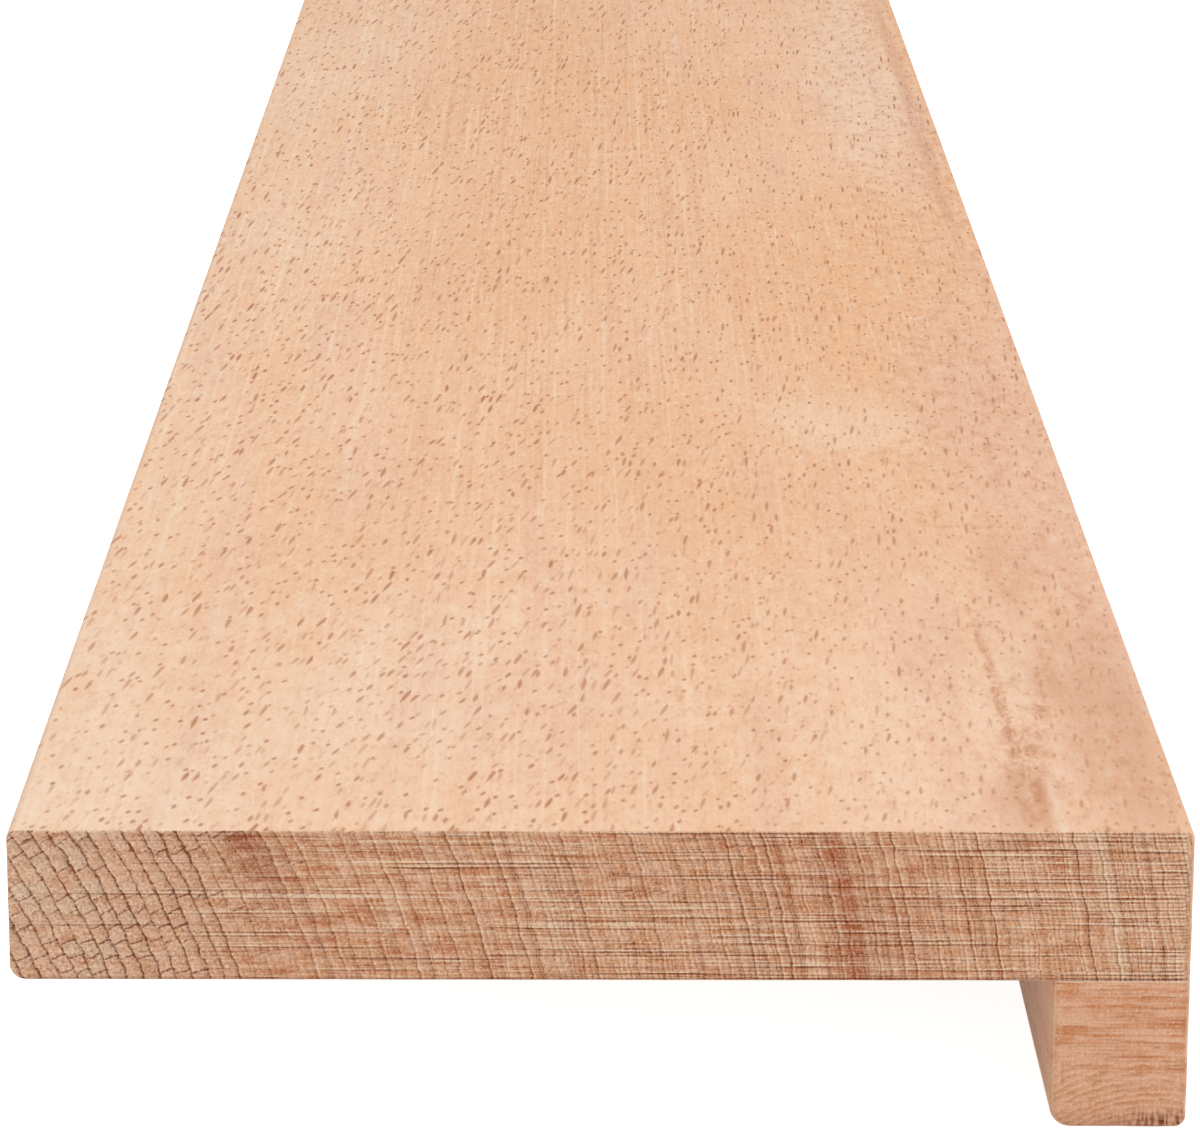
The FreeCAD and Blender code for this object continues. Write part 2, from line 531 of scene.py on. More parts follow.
# %% Build a bar
EASING_RINGS = 7
STATIONS = 27
ARRIS_WANDER = 0.08
WANDER_LENGTH = 170.0
SHARP_ANGLE = math.radians(50)
PLANED, EASED, SAWN = 0, 1, 2

# Height, pace and lag of the waves that make up an uneven one
WAVES = ((1.0, 1.0, 1.0), (0.6, 2.3, 2.1), (0.4, 4.7, 0.7))


def uneven(values, length, shift):
    """A gentle wave of about -1 to 1 that never quite repeats."""
    turns = values / length * 2 * math.pi
    return sum(height * np.sin(pace * turns + lag * shift) for height, pace, lag in WAVES) / 2


def build_bar(name, lowest, highest, radii, across, easing, marks):
    """A bar that fills the box between two corners, in millimetres, with sawn and eased ends."""
    low, high, half_length = (lowest.x, lowest.z), (highest.x, highest.z), highest.y
    columns, rows = len(across) - 1, len(UPRIGHT) - 1
    angles = np.linspace(0, math.pi / 2, EASING_RINGS + 1)
    rim = rim_numbers(columns, rows)
    points, faces, sawn, finishes = [], [], [], []
    made = 0

    def end_rings(end):
        places, facing, names = outline(low, high, radii, across, UPRIGHT)
        pull = easing(places, facing, names, end)
        reach = np.linalg.norm(pull, axis=1)
        for angle in angles:
            drawn_in = places - pull * (1 - math.sin(angle))
            yield drawn_in, end * (half_length - reach * (1 - math.cos(angle)))

    def add_points(places, depth, relief):
        nonlocal made
        points.append(np.column_stack([places[:, 0], np.broadcast_to(depth, len(places)), places[:, 1]]))
        sawn.append(np.broadcast_to(relief, len(places)))
        made += len(places)
        return np.arange(made - len(places), made)

    def add_faces(made_faces, finish):
        faces.append(made_faces)
        finishes.append(np.broadcast_to(finish, len(made_faces)))

    def add_belt(ring, places, depth, finish):
        following = add_points(places, depth, 0.0)
        add_faces(ring_faces(ring, following), finish)
        return following

    def add_cap(end):
        drawn_in, _ = next(end_rings(end))
        places = fill_outline(drawn_in, columns, rows).reshape(-1, 2)
        relief = saw_relief(places, marks)
        depth = end * (half_length - SAW_DEPTH * (1 - relief))
        numbers = add_points(places, depth, relief)
        finish = np.full((rows, columns), SAWN)
        finish[[0, -1]] = EASED
        finish[:, [0, -1]] = EASED
        add_faces(numbers[grid_faces(columns, rows)][:, :: -int(end)], finish.ravel())
        return numbers[rim]

    ring = add_cap(-1)
    for places, depth in list(end_rings(-1))[1:]:
        ring = add_belt(ring, places, depth, EASED)
    for station in np.linspace(-half_length, half_length, STATIONS + 2)[1:-1]:
        swell = 1 - ARRIS_WANDER * (0.5 + 0.5 * uneven(station, WANDER_LENGTH, half_length))
        worn = {corner: radius * swell for corner, radius in radii.items()}
        ring = add_belt(ring, outline(low, high, worn, across, UPRIGHT)[0], station, PLANED)
    finish = PLANED
    for places, depth in list(end_rings(1))[:0:-1]:
        ring = add_belt(ring, places, depth, finish)
        finish = EASED
    add_faces(ring_faces(ring, add_cap(1)), EASED)

    mesh = bpy.data.meshes.new(name)
    mesh.from_pydata((np.concatenate(points) * MM).tolist(), [], np.concatenate(faces).tolist())
    mesh.attributes.new("sawn", "FLOAT", "POINT").data.foreach_set("value", np.concatenate(sawn))
    mesh.polygons.foreach_set("material_index", np.concatenate(finishes))
    mesh.shade_smooth()
    mesh.set_sharp_from_angle(angle=SHARP_ANGLE)
    print(name, len(mesh.vertices), "points,", len(mesh.polygons), "faces")
    return add_object(name, mesh)


# %% [markdown]
# The easing is what the eye catches at a sawn end. On the photographed tread the sander took about two
# millimetres off the front corner and all round the strip, and hardly touched the walking surface and
# the underside. A glued face keeps its full width to the very end, so it is drawn in only where it runs
# out to the front or the riser side. Each outline point gets the way and the distance of its easing.

# %% Easing of the ends
LIGHT_EASING = 0.6
FRONT_EASING = 2.2
STRIP_EASING = 2.0
EASING_WANDER = 0.16
EASING_WANDER_LENGTH = 31.0
OUTLINE_SLANT = 1.7
GLUED_RUN_OUT = 8.0

board_low, board_high = (Vector(corner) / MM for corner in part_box("tread_board"))
strip_low, strip_high = (Vector(corner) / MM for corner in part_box("nosing_strip"))
RISER_SIDE = strip_low.x
GLUE_HEIGHT = strip_high.z


def wandering(places, end):
    """A factor near 1 that varies round the outline, and differs from end to end."""
    slanted = places[:, 0] + OUTLINE_SLANT * places[:, 1]
    return 1 + EASING_WANDER * uneven(slanted, EASING_WANDER_LENGTH, 2.0 + end)


def run_out(places):
    """From 0 to 1 over the last millimetres of a glued face before the front."""
    return np.clip((places[:, 0] - board_high.x) / GLUED_RUN_OUT + 1, 0, 1)


def board_easing(places, facing, names, end):
    """How far the points of the board's outline are drawn in: lightly, but for the front."""
    forward = np.clip(facing[:, 0], 0, 1) ** 2
    pull = (LIGHT_EASING + (FRONT_EASING - LIGHT_EASING) * forward) * wandering(places, end)
    glued = (names == "bottom") & (places[:, 0] > RISER_SIDE)
    pull = pull[:, None] * facing
    pull[glued] = FRONT_EASING * run_out(places[glued])[:, None] * np.array([1, 0])
    return pull


def strip_easing(places, facing, names, end):
    """How far the points of the strip's outline are drawn in: about alike all round."""
    pull = (STRIP_EASING * wandering(places, end))[:, None] * facing
    glued = names == "top"
    towards_riser = np.clip((RISER_SIDE - places[:, 0]) / GLUED_RUN_OUT + 1, 0, 1)
    sideways = FRONT_EASING * run_out(places) - STRIP_EASING * towards_riser
    pull[glued] = sideways[glued, None] * np.array([1, 0])
    return pull


# %% [markdown]
# Both bars can be built now. The board's walking edges have the smallest radius, and the strip is
# rounded most at its foot. Each bar is then attached to the body that it rides on, and the plain solid
# that it stands for is hidden.

# %% Two timbers
BOARD_RADII = {"back_foot": 4.0, "front_foot": 0.0, "front_top": 2.5, "back_top": 2.5}
STRIP_RADII = {"back_foot": 5.5, "front_foot": 3.0, "front_top": 0.0, "back_top": 0.0}

# Lowest and highest middle of the marks in x and z, range of their lengths, marks in each step
BOARD_SAWING = ((-132.0, 40.6), (165.0, 79.6), (14.0, 84.0), 8)
STRIP_SAWING = ((116.0, 3.0), (150.0, 39.5), (8.0, 30.0), 2)

board_marks = np.concatenate([draw_saw_marks(SAW_SEED, *BOARD_SAWING), LONG_SAW_MARKS])
strip_marks = draw_saw_marks(SAW_SEED + 1, *STRIP_SAWING)
print(len(board_marks), "saw marks on the board,", len(strip_marks), "on the strip")

board_form = (BOARD_RADII, BOARD_ACROSS, board_easing, board_marks)
strip_form = (STRIP_RADII, STRIP_ACROSS, strip_easing, strip_marks)
board = build_bar("beech_board", board_low, board_high, *board_form)
strip = build_bar("beech_strip", strip_low, strip_high, *strip_form)
for bar, node in ((board, "tread_board"), (strip, "nosing_strip")):
    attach(bar, "root")
    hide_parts(node)


# %% [markdown]
# Timber is cut from a round trunk, so its look is worked out from a place in that trunk: the distance
# from the pith gives the growth rings, the direction from the pith gives the rays, and the length of
# the tread is the grain. All faces then agree with each other at every arris, as in real wood. A
# picture wrapped round the bar would not do that.

# %% Where a point lies in the trunk
FACING_SIDEWAYS, FACING_ALONG = 0.55, 0.93
SWING_STRETCH = 12


def bar_place(tree):
    """A point's place in millimetres, and from 0 to 1 how squarely it faces along the tread."""
    source = tree.nodes.new("ShaderNodeTexCoord")
    place = Field(source.outputs["Object"]).vector("MULTIPLY", (1 / MM,) * 3)
    along = Field(source.outputs["Normal"]).axes()[1]
    return place, rise(along.size(), FACING_SIDEWAYS, FACING_ALONG)


def trunk_distance(place, pith, lump, wander):
    """The distance from the pith across the trunk. It strays in large swings with small ones on top."""
    x, _, z = place.axes()
    across, up = x - pith[0], z - pith[1]
    swings = noise(place, (lump, lump * SWING_STRETCH, lump), 3.0, 0.68)
    return (across * across + up * up).reckon("SQRT") + swings * wander


# %% [markdown]
# Beech is full of medullary rays. Where a ray meets a planed face it shows as a fleck, a small brown
# lens that lies along the grain. A cellular texture puts one fleck at random in each cell of a lattice,
# which is laid over the walking surface and folded down over the front and the back. The flecks thin out
# towards the far end, so the cells grow longer with the distance from an origin, and a logarithm does
# that without a seam. The cells also give random numbers, so that flecks differ in lean, length and
# strength.

# %% Ray flecks
FLECK_ACROSS = 2.5
FLECK_STRETCH = 109.0
FLECK_ORIGIN = 1900.0
FLECK_HALF_WIDTH = 0.63
FLECK_HALF_LENGTH = 0.25
WIDTH_LEAST, WIDTH_SPREAD = 0.65, 0.45
LENGTH_LEAST, LENGTH_SPREAD = 0.54, 2.1
LEAN_LEAST, LEAN_SPREAD = 0.3, 1.2
FLECK_RIM, FLECK_CORE = 1.6, 0.1


def ray_flecks(place, scale, lean):
    """The strength of the flecks, from 0 between them to 1 in the strongest."""
    x, y, z = place.axes()
    from_origin = y + FLECK_ORIGIN
    cell_length = from_origin / FLECK_STRETCH
    lattice = point((x - z) / FLECK_ACROSS, from_origin.reckon("LOGARITHM", math.e) * FLECK_STRETCH, 0.0)
    cells = x.tree.nodes.new("ShaderNodeTexVoronoi")
    cells.voronoi_dimensions = "2D"
    feed([cells.inputs["Vector"], cells.inputs["Scale"]], lattice, 1.0)
    dice = x.tree.nodes.new("ShaderNodeSeparateColor")
    feed(dice.inputs, Field(cells.outputs["Color"]))
    first, second, third = (Field(socket) for socket in dice.outputs)
    across, along, _ = lattice.vector("SUBTRACT", Field(cells.outputs["Position"])).axes()
    lean = (first * LEAN_SPREAD + LEAN_LEAST) * lean
    across = across * FLECK_ACROSS - along * cell_length * lean
    longer = second * second
    half_length = (longer * longer * LENGTH_SPREAD + LENGTH_LEAST) * (scale * FLECK_HALF_LENGTH)
    half_width = (third * WIDTH_SPREAD + WIDTH_LEAST) * (scale * FLECK_HALF_WIDTH)
    along = along / half_length
    lens = (across / half_width).size() + along * along
    return rise(lens, FLECK_RIM, FLECK_CORE) * rise(third, 0.0, 1.2)


# %% [markdown]
# The colours are named once: cream and tan for the planed faces, a pinker tone along the nosing, and
# darker, browner ones for the end grain, which drinks in the light.

# %% Colours of beech
CREAM = linear(250, 209, 176)
TAN = linear(241, 182, 132)
PINK = linear(234, 181, 149)
FLECK_BROWN = linear(181, 102, 54)
STREAK_BROWN = linear(205, 142, 100)
PALE_STREAK = linear(255, 236, 212)

END_PINK = linear(240, 187, 154)
END_TAN = linear(222, 154, 106)
END_GREY = linear(238, 208, 178)
END_ORANGE = linear(192, 100, 52)
RING_BROWN = linear(108, 38, 6)
RED_BROWN = linear(172, 76, 30)
SAW_PALE = linear(255, 227, 193)


# %% [markdown]
# Broad soft clouds shift the walking surface between cream and tan. Each is an ellipse with a ragged
# rim, at its place on the board. A list is easier to tune than one large pattern of noise.

# %% Clouds of colour
# The length of a lump in a direction where the pattern never changes
ENDLESS = math.inf

# Middle and reach of each cloud in x and y, its tone, and its share in the middle
CLOUDS = {
    "pale patch": ((84, -262), (26, 46), PALE_STREAK, 0.4),
    "tan patch": ((94, -30), (50, 220), TAN, 1.0),
    "middle tan": ((-25, 330), (70, 400), TAN, 0.75),
    "tan left of the middle": ((-30, -130), (60, 260), TAN, 0.5),
    "tan beside the nosing": ((60, -340), (60, 200), TAN, 0.3),
    "pale near end": ((-40, -640), (140, 170), PALE_STREAK, 0.14),
    "pink by the nosing": ((130, -230), (26, 150), PINK, 0.55),
    "pink cloud": ((134, -548), (15, 46), STREAK_BROWN, 0.32),
    "near pink cloud": ((138, -630), (14, 70), STREAK_BROWN, 0.42),
    "tan under the arch": ((108, -676), (9, 26), STREAK_BROWN, 0.36),
    "smudge above the arch": ((121, -455), (7, 50), STREAK_BROWN, 0.3),
    "smudge on the arch": ((123, -568), (5, 18), STREAK_BROWN, 0.4),
    "pale beside the far streak": ((122, 400), (20, 260), PALE_STREAK, 0.22),
    "far streak": ((141.5, 330), (3.2, 320), FLECK_BROWN, 0.28),
}


def cloud_share(place, middle, reach, unrest, share):
    """The share in the middle of a cloud and 0 outside it, with an uneven rim."""
    shift = [-centre / side for centre, side in zip(middle, reach)]
    away = stretched(place, reach, shift)
    return rise(away.vector("DOT_PRODUCT", away) + unrest, 1.6, 0.0, share)


# %% [markdown]
# Near the nosing the saw cut through a dip in the growth rings, which show there as an arch: a dark
# hairpin, pale inside, on a short stem. A parabola draws it and noise breaks it up. Further along, a
# dark seam runs beside the nosing.

# %% Arch of grain
ARCH_TIP = (111.8, -655.0)
ARCH_SLANT = 0.05
ARCH_WIDTH = 0.82
ARCH_LINE = 76.0
ARCH_FADE = (-450.0, -560.0)
STEM_FADE = (-648.0, -662.0)
SEAM_START = (104.0, -290.0)
SEAM_SLANT = 0.082
SEAM_FADE = (-310.0, -240.0)


def grain_figure(x, y, patch, ragged, grit):
    """Dark and pale shares of the arch of grain and of the seam beside the nosing."""
    along = y - ARCH_TIP[1]
    across = (x - along * ARCH_SLANT - ARCH_TIP[0] + (patch + ragged * 0.9) * 1.4) / ARCH_WIDTH
    curve = across * across - along
    near = rise(y, *ARCH_FADE)
    under_tip = rise(y, *STEM_FADE)
    arch_line = bump_at(curve + grit * 14, 0.0, ARCH_LINE) * near * (ragged * 0.3 + grit * 0.24 + 0.5)
    arch_line = arch_line * rise(x, 140.0, 104.0)
    stem = bump_at(x + ragged, ARCH_TIP[0] + 1.6, 3.2) * under_tip * 0.3
    seam = bump_at(x - (y - SEAM_START[1]) * SEAM_SLANT + patch * 5 + ragged, SEAM_START[0], 3.0)
    seam = seam * rise(y, *SEAM_FADE) * (ragged * 0.3 + patch * 0.2 + 0.15)
    inside = rise(curve + ragged * 24, -5.0, -90.0, 0.12) * near
    beside_stem = bump_at(x + ragged, ARCH_TIP[0] + 4.6, 2.2) * under_tip * 0.22
    return rise(arch_line + stem + seam, 0.0, 0.9), inside + beside_stem


# %% [markdown]
# The planed faces are laid on in layers: broad tones first, then fine streaks that follow the growth
# rings, then the arch, and the flecks last. The front third is pinker and more restless. Each layer is
# blended over the one before by a share from 0 to 1.

# %% Planed faces of the board
NEAR_PART, FAR_PART = -620.0, 100.0
NOSING_FROM, NOSING_FULL = 84.0, 122.0


def broad_tones(place, patch, ragged, further, nosing):
    """Cream to tan, pinker at the nosing, with the clouds laid over."""
    cloud = noise(place, (70, 260, 70))
    blush = noise(place, (15, 130, 15), 0.0, 0.5, (20, 0, 0))
    tanned = rise(cloud * 0.4 + patch * 0.25 + further * 0.5, -0.9, 1.1)
    pinker = rise(blush, 0.0, 1.0, 0.4) + nosing * (further * -0.22 + 0.4)
    colour = blend(blend(CREAM, TAN, tanned), PINK, pinker)
    unrest = patch * 0.4 + ragged * 0.5
    for middle, reach, tone, share in CLOUDS.values():
        cloudy = cloud_share(place, (*middle, 0), (*reach, ENDLESS), unrest, share)
        colour = blend(colour, tone, cloudy)
    return colour


def fine_streaks(place, distance, ragged, grit, further, nosing):
    """Brown and pale shares of fibres, streaks and pores. The nosing has the fewest streaks."""
    x, y, z = place.axes()
    threads = point(distance, y, z)
    fibre = noise(threads, (0.8, 90, 9), 2.0, 0.6)
    streak = noise(threads, (1.5, 200, 30), 1.0, 0.6)
    fine = rise(x, 110.0, 20.0, 0.8) + 0.2
    brown = rise(fibre, 0.1, 1.6, 0.2) + rise(streak, 0.1, 1.2) * fine * (further * 0.2 + 0.12)
    brown = brown + rise(grit, 0.0, 1.3) * (further * 0.16 + 0.44)
    brown = brown + rise(ragged, 0.0, 1.3) * (nosing * 0.56 + 0.2)
    pale = rise(streak, -0.1, -1.3) * fine * (further * 0.06 + 0.24)
    pale = pale + rise(grit, 0.0, -1.5) * (further * 0.3 + 0.38 - nosing * 0.16)
    pale = pale + rise(fibre, -0.1, -1.6) * (further * 0.4 + 0.14) + rise(x, -20.0, -150.0, 0.18)
    return brown, pale + rise(ragged, 0.2, -1.3) * (nosing * 0.04 + 0.24)


def board_flecks(place, patch, further, nosing):
    """Share of the ray flecks. Towards the nosing they lean less and are smaller and fainter."""
    x, _, _ = place.axes()
    forward = rise(x, -40.0, 130.0)
    leaning = noise(place, (90, 200, 90), 0.0, 0.5, (3, 0, 0)) * 0.06 + 0.18
    leaning = leaning * (forward * -0.6 + 1) * (further * -0.4 + 1)
    weaker = (forward * 0.12 + nosing * 0.16) * (1 - further)
    strength = patch * 0.2 + further * 0.2 + 0.86 - weaker
    return ray_flecks(place, forward * -0.2 + 1.08 - further * 0.1, leaning) * strength


def planed_board(place, distance):
    """Colour of the long faces of the board."""
    x, y, z = place.axes()
    patch = noise(place, (20, 70, 20), 2.0, 0.6, (5, 0, 0))
    ragged = noise(place, (4.5, 12, 4.5), 2.0, 0.66)
    grit = noise(place, (1.2, 3.6, 1.2), 2.0, 0.8)
    further = rise(y, NEAR_PART, FAR_PART)
    nosing = rise(x + patch * 9, NOSING_FROM, NOSING_FULL)
    top = rise(z, 60.0, 79.0)
    colour = broad_tones(place, patch, ragged, further, nosing)
    brown, pale = fine_streaks(place, distance, ragged, grit, further, nosing)
    figure_dark, figure_pale = grain_figure(x, y, patch, ragged, grit)
    colour = blend(colour, STREAK_BROWN, brown)
    colour = blend(colour, PALE_STREAK, pale + figure_pale * top)
    colour = blend(colour, STREAK_BROWN, figure_dark * top)
    return blend(colour, FLECK_BROWN, board_flecks(place, patch, further, nosing))


# %% [markdown]
# The sawn end shows the rings edge on. At the back of the board they are wide, and the rays cross them
# like the joints of brickwork. The angle round the pith, counted in ray spacings, sets one ray in each
# count, and a shift from ring to ring staggers the joints. Each brick gets a tone of its own.

# %% Rays that cross the rings
BOARD_PITH = (-280.0, -15.0)
RING_RATE, RING_POWER = 0.0288, 1.36
RAY_SPACING = 4.3
RAY_RIM, RAY_CORE = 0.36, 0.05


def ray_lines(place, rings, closeness):
    """Thin lines that cross the rings, shifted a little from ring to ring, and a tone for each brick."""
    x, _, z = place.axes()
    across, up = x - BOARD_PITH[0], z - BOARD_PITH[1]
    ring = rings.whole()
    ring_distance = (ring / RING_RATE) ** (1 / RING_POWER)
    wave = noise(place, (2.0, ENDLESS, 2.0), 0.0, 0.5, (40, 0, 0)) * 0.06
    cells = up.reckon("ARCTAN2", across) * ring_distance / RAY_SPACING + chance(ring) * 0.16 + wave
    gap = (cells.part() - 0.5).size() * RAY_SPACING
    ray = chance(cells.whole() + (ring / 3).whole() * 7)
    strength = rise(ray, closeness * -0.5 + 0.66, closeness * -0.2 + 1.0)
    return rise(gap, RAY_RIM, RAY_CORE) * strength, chance((cells + 0.5).whole() * 5 + ring * 11)


# %% [markdown]
# The ground of the sawn end goes from greyish at the back to orange beside the brickwork. A stained ring
# lies there, and a dark one nearer to the nosing.

# %% Tones of the sawn end
STAINED_RING, DARK_RING = 211.0, 350.0


def end_tones(place, distance, mottle, brick, back):
    """The ground colour of the sawn end, its share of red and its share of stain."""
    x, _, z = place.axes()
    colour = blend(END_PINK, END_TAN, rise(mottle + (brick - 0.5) * back * 1.2, -0.8, 0.8))
    colour = blend(colour, END_GREY, rise(x, -60.0, -150.0) * (brick * 0.8 + 0.1))
    orange = noise(place, (11, ENDLESS, 2.2), 2.0, 0.6, (3, 0, 0))
    reddened = rise(x, -106.0, -84.0, 0.54) * (rise(x, -60.0, 0.0, -0.5) + 1) + 0.26
    reddened = reddened + bump_at(x, 50.0, 56.0) * 0.2
    colour = blend(colour, END_ORANGE, rise(orange, -0.3, 0.9) * reddened)
    stain = bump_at(distance + mottle * 3, STAINED_RING, 9.0) * rise(z, 48.0, 76.0) * (mottle * 0.2 + 0.5)
    halo = bump_at(distance, DARK_RING + 9, 24.0) * rise(z, 84.0, 44.0) * 0.24
    red = bump_at(distance, DARK_RING, 6.5) * (mottle * 0.24 + 0.5) + halo + stain
    red = red + rise(mottle, 0.1, 1.1, 0.34) * back
    return blend(colour, RED_BROWN, red.reckon("MINIMUM", 0.9)), red, stain


# %% [markdown]
# Each ring closes with a thin dark line. Towards the nosing fine threads between those lines, crossed by
# a weft of short streaks, make the end look woven.

# %% Ring lines and weave
THREADS_PER_RING = 2.4

# Where the weave begins and where it is full, in millimetres from the middle of the board
WEFT = (-114.0, -88.0)
THREADS = (-108.0, 20.0)


def closing_line(part, start, full):
    """1 on the thin dark line that closes a ring or a thread, by the part of it that is passed."""
    return rise(part, start, full) * rise(part, 1.0, 0.95)


def ring_lines(rings, mottle, back, grainy):
    """Dark and pale shares of the rings: a shade that deepens to the closing line, then a pale edge."""
    part = rings.part()
    tone = chance(rings.whole())
    line = closing_line(part, 0.76, 0.92) * (back * 0.3 + tone * 0.3 + mottle * 0.24 + 0.36) * grainy
    shade = rise(part, 0.1, 0.85) * rise(part, 1.0, 0.93) * (tone * 0.18 + 0.03)
    beside = rise(part, 0.0, 0.07) * rise(part, 0.24, 0.09) * (1 - back) * (tone * 0.4 + 0.12)
    return line * (back * 0.42 + 0.68) + shade, beside * 0.5


def weave(place, rings):
    """Dark and pale shares of the weave: threads along the rings and a weft across them."""
    x, _, _ = place.axes()
    threads = rings * THREADS_PER_RING
    tone = chance(threads.whole() + 0.5)
    thread = closing_line(threads.part(), 0.5, 0.88) * tone
    lit_thread = rise(threads.part(), 0.6, 0.15) * (1 - tone)
    weft = noise(place, (16, ENDLESS, 0.42), 1.0, 0.6)
    woven = rise(x, *THREADS, 0.6) + 0.4
    laced = rise(x, *WEFT, 0.7) + 0.3
    dark = rise(weft, 0.0, 1.2, 0.45) * laced + thread * woven * 0.36
    return dark, rise(weft, 0.0, -1.2, 0.5) * laced + lit_thread * woven * 0.28


# %% [markdown]
# Now the sawn end is put together. The height of the saw's marks is stored on the mesh, so that the
# painted shade in the grooves and the painted highlight on the ridges lie where the relief has them.

# %% Sawn end of the board
# Where the brickwork begins and where it is full
BRICKS = (-78.0, -112.0)

PALE_RINGS = (277.5, 416.0)
GLUE_LINE = 0.4
END_ROUGHNESS, ROUGHNESS_SPREAD = 0.68, 0.04
PORE_HEIGHT = 0.008


def pored(colour, speckle, roughness):
    """A sawn finish: its open pores give it relief and differ in roughness."""
    return colour, speckle * ROUGHNESS_SPREAD + roughness, speckle * PORE_HEIGHT


def sawn_board(place, distance, sawn):
    """Colour, roughness and height of the sawn end."""
    x, _, z = place.axes()
    rings = distance**RING_POWER * RING_RATE
    back = rise(x, *BRICKS)
    rays, brick = ray_lines(place, rings, back)
    mottle = noise(place, (7, ENDLESS, 4), 2.0, 0.65)
    speckle = noise(place, (0.8, ENDLESS, 0.8), 1.0, 0.8)
    grainy = speckle * 0.4 + 0.75
    colour, red, stain = end_tones(place, distance, mottle, brick, back)
    ring_dark, ring_pale = ring_lines(rings, mottle, back, grainy)
    weave_dark, weave_pale = weave(place, rings)
    # The saw's relief darkens the colour in its grooves, a painted shade, and the pale share below
    # lightens it on the ridges, a painted highlight.
    groove = rise(sawn, 0.0, -0.9) * (grainy * 0.2 + 0.75)

    dark = ring_dark + rays * (back * 0.6 + 0.44) * grainy + groove * 0.66 + weave_dark
    dark = dark + rise(speckle, 0.0, 1.4) * (back * 0.2 + 0.6) + stain * 0.3
    # Painted shade: the end is darkened at the front arris, where the front lamp lights it, and in a thin
    # line along the board's lower edge.
    dark = dark + rise(x, 147.0, 149.6, 0.24) + rise(z, 41.3, 40.3, 0.44)
    pale = rise(sawn, 0.05, 0.95, 0.7) + ring_pale + weave_pale
    pale = pale + rise(speckle, 0.0, -1.4) * (back * 0.4 + 0.8)
    pale = pale * (1 - red * 0.5) + bump_at(z, GLUE_HEIGHT, GLUE_LINE) * 0.8
    pale = pale + rise(z, 79.0, 79.9, 0.3) + rise(x, 144.0, 148.0, 0.2)
    for pale_ring in PALE_RINGS:
        pale = pale + bump_at(distance, pale_ring, 3.5) * 0.25
    colour = blend(colour, SAW_PALE, (pale * 1.16).reckon("MINIMUM", 0.9))
    colour = blend(colour, RING_BROWN, dark.reckon("MINIMUM", 1.0) * 0.88)
    return pored(colour, speckle, END_ROUGHNESS)


# %% [markdown]
# Raw sanded beech is nearly matt, with a faint silkiness along the grain. The bump is given in real
# millimetres: a fibre is about a hundredth high. Each timber gets three finishes: one for the planed
# faces, one for the sawn end, and one for the eased arris between them, which knows both and turns from
# one to the other, so that no seam shows. One finish for the whole bar would work out all the end grain
# for the planed faces too, and the render would take twice as long.

# %% Finish of the board
GLOSS = {"planed": 0.3, "eased": 0.2, "sawn": 0.1}
PLANED_ROUGHNESS = 0.56
FIBRE_HEIGHT = 0.012


def beech(name, recipe, gloss):
    """A raw beech made from a recipe that gives colour, roughness and height."""
    material = bpy.data.materials.new(name)
    material.use_nodes = True
    tree = material.node_tree
    shader = tree.nodes["Principled BSDF"]
    sawn = tree.nodes.new("ShaderNodeAttribute")
    sawn.attribute_name = "sawn"
    colour, roughness, height = recipe(*bar_place(tree), Field(sawn.outputs["Fac"]))
    bump = tree.nodes.new("ShaderNodeBump")
    feed([bump.inputs["Distance"], bump.inputs["Height"]], MM, height)
    shader.inputs["Specular IOR Level"].default_value = gloss
    feed([shader.inputs[socket] for socket in ("Base Color", "Roughness")], colour, roughness)
    tree.links.new(bump.outputs["Normal"], shader.inputs["Normal"])
    print(name, len(tree.nodes), "nodes")
    return material


def silky(colour, place):
    """A planed finish: the fibres that a finger feels give it relief and silkiness."""
    fibre = noise(place, (0.9, 60, 0.9))
    return colour, fibre * ROUGHNESS_SPREAD + PLANED_ROUGHNESS, fibre * FIBRE_HEIGHT


def turning(planed, sawn, end):
    """The planed finish where a face looks sideways, the sawn one where it looks along the tread."""
    colour = blend(planed[0], sawn[0], end)
    roughness, height = (one + (other - one) * end for one, other in zip(planed[1:], sawn[1:]))
    return colour, roughness, height


def board_distance(place):
    """The distance from the pith that the board's rings are counted by."""
    return trunk_distance(place, BOARD_PITH, lump=7.0, wander=0.72)


def planed_board_recipe(place, end, sawn):
    return silky(planed_board(place, board_distance(place)), place)


def sawn_board_recipe(place, end, sawn):
    return sawn_board(place, board_distance(place), sawn)


def eased_board_recipe(place, end, sawn):
    distance = board_distance(place)
    return turning(silky(planed_board(place, distance), place), sawn_board(place, distance, sawn), end)


def add_finishes(bar, timber, **recipes):
    """Gives a bar its finishes, in the order in which its faces are numbered."""
    for kind, gloss in GLOSS.items():
        bar.data.materials.append(beech(f"{kind}_{timber}_beech", recipes[kind], gloss))


add_finishes(board, "board", planed=planed_board_recipe, eased=eased_board_recipe, sawn=sawn_board_recipe)

# %% [markdown]
# The strip comes from another plank. Its rings are tight arches round a pith just below it, hardly
# darker than the wood between them, and its upper half is streaked from side to side. On the riser side
# its eased arris is paler along its middle.

# %% Finish of the strip
STRIP_PITH = (140.0, -28.0)
STRIP_RING = 1.8
STRIP_END_ROUGHNESS = 0.66
STREAKED = (10.0, 20.0)
ARCHED = (24.0, 12.0)


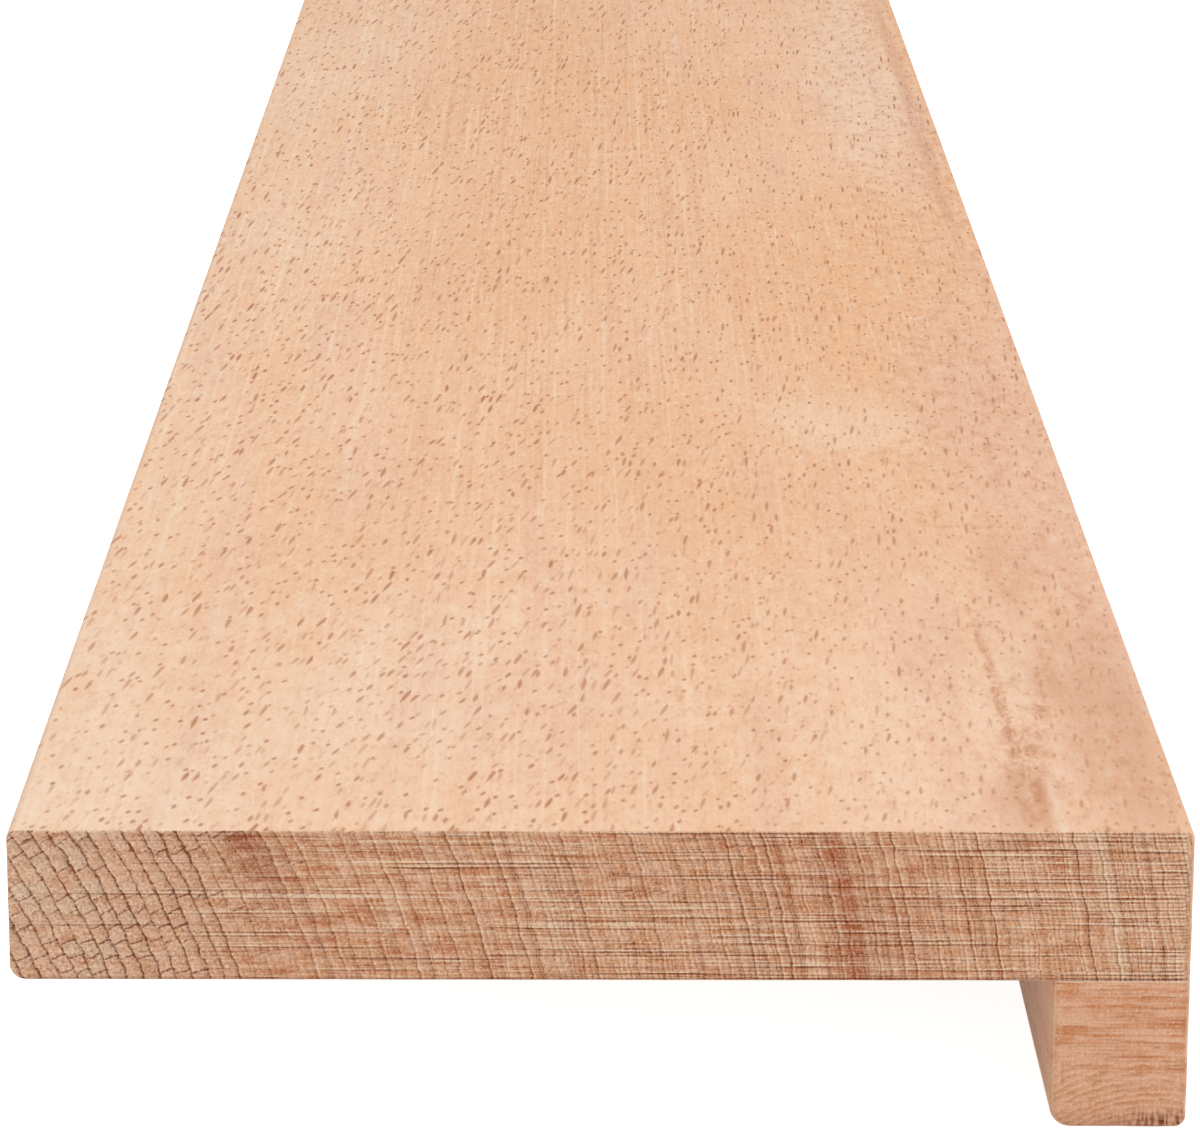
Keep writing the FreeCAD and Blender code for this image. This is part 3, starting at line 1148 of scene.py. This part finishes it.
def planed_strip(place):
    """Colour of the long faces of the strip."""
    cloud = noise(place, (18, 200, 10), 1.0)
    fibre = noise(place, (1.6, 120, 1.6), 2.0, 0.7)
    grit = noise(place, (0.9, 3.0, 0.9), 1.0)
    x, _, _ = place.axes()
    colour = blend(CREAM, PINK, rise(cloud, -0.8, 0.8))
    colour = blend(colour, TAN, rise(x, 121.0, 116.0, 0.6))
    colour = blend(colour, STREAK_BROWN, rise(fibre, -0.1, 1.4, 0.5) + rise(grit, 0.0, 1.4, 0.2))
    colour = blend(colour, PALE_STREAK, rise(fibre, -0.1, -1.4, 0.5) + rise(grit, 0.0, -1.4, 0.2))
    return blend(colour, FLECK_BROWN, ray_flecks(place, 0.8, 0.08) * 0.6)


def sawn_strip(place, sawn):
    """Colour, roughness and height of the strip's sawn end."""
    x, _, z = place.axes()
    upper, lower = rise(z, *STREAKED), rise(z, *ARCHED)
    part = (trunk_distance(place, STRIP_PITH, lump=9.0, wander=0.9) / STRIP_RING).part()
    bands = noise(place, (26, ENDLESS, 1.9), 2.0, 0.66)
    mottle = noise(place, (5, ENDLESS, 4), 1.0, 0.6, (7, 0, 0))
    speckle = noise(place, (0.8, ENDLESS, 0.8), 1.0, 0.8)
    warp = noise(place, (0.7, ENDLESS, 5), 0.0, 0.5, (9, 0, 0))
    strokes = noise(place, (0.8, ENDLESS, 4), 0.0, 0.5, (5, 0, 0))
    colour = blend(END_PINK, END_TAN, rise(bands * (upper * 0.7 + 0.3) + mottle * 0.5, -0.6, 0.9))
    colour = blend(colour, END_ORANGE, rise(bands, -0.3, 1.1) * (upper * 0.46 + 0.1) + 0.06)

    foot = rise(z, 7.5, 2.0) * rise(strokes, -0.3, 0.5) * rise(x, 126.0, 142.0)
    line = closing_line(part, 0.45, 0.88) * lower * (mottle * 0.5 + 0.5)
    beside = rise(part, 0.0, 0.12) * rise(part, 0.5, 0.2) * lower
    dark = line * 0.46 + rise(speckle, 0.0, 1.4, 0.52) + rise(warp, 0.0, 1.1, 0.06) + foot * 1.1
    # Painted shade: the front arris is darkened where the front lamp lights it, and so are the saw's
    # grooves in the upper half. The next line lightens the saw's ridges there, a painted highlight. The
    # end is also darker over its lowest 6 mm.
    dark = dark + rise(x, 147.0, 149.6, 0.3) + rise(z, 6.0, 0.2, 0.3) + rise(sawn, 0.0, -0.9, 0.5) * upper
    pale = rise(sawn, 0.1, 0.9, 0.4) * upper + rise(speckle, 0.0, -1.4, 0.62) + rise(warp, 0.0, -1.1, 0.06)
    pale = pale + beside * 0.2 + bump_at(z, GLUE_HEIGHT, GLUE_LINE * 1.5)
    colour = blend(colour, SAW_PALE, pale.reckon("MINIMUM", 0.85))
    return pored(blend(colour, RING_BROWN, dark * 0.54), speckle, STRIP_END_ROUGHNESS)


def planed_strip_recipe(place, end, sawn):
    return silky(planed_strip(place), place)


def sawn_strip_recipe(place, end, sawn):
    return sawn_strip(place, sawn)


def eased_strip_recipe(place, end, sawn):
    x, _, _ = place.axes()
    colour, roughness, height = turning(silky(planed_strip(place), place), sawn_strip(place, sawn), end)
    pale_arris = bump_at(end, 0.45, 0.45) * rise(x, 122.0, 117.0, 0.42)
    return blend(colour, SAW_PALE, pale_arris), roughness, height


add_finishes(strip, "strip", planed=planed_strip_recipe, eased=eased_strip_recipe, sawn=sawn_strip_recipe)

# %% [markdown]
# Last, the box of the dressed tread is worked out and kept beside the box of its solids. The finish
# may not make it any larger.

# %% Sizes of the solids and the dressed tread
dressed_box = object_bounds()
sizes = {
    "cad": [list(map(float, corner)) for corner in solid_box],
    "visual": [list(map(float, corner)) for corner in dressed_box],
}
print("dressed tread reaches from", *sizes["visual"])
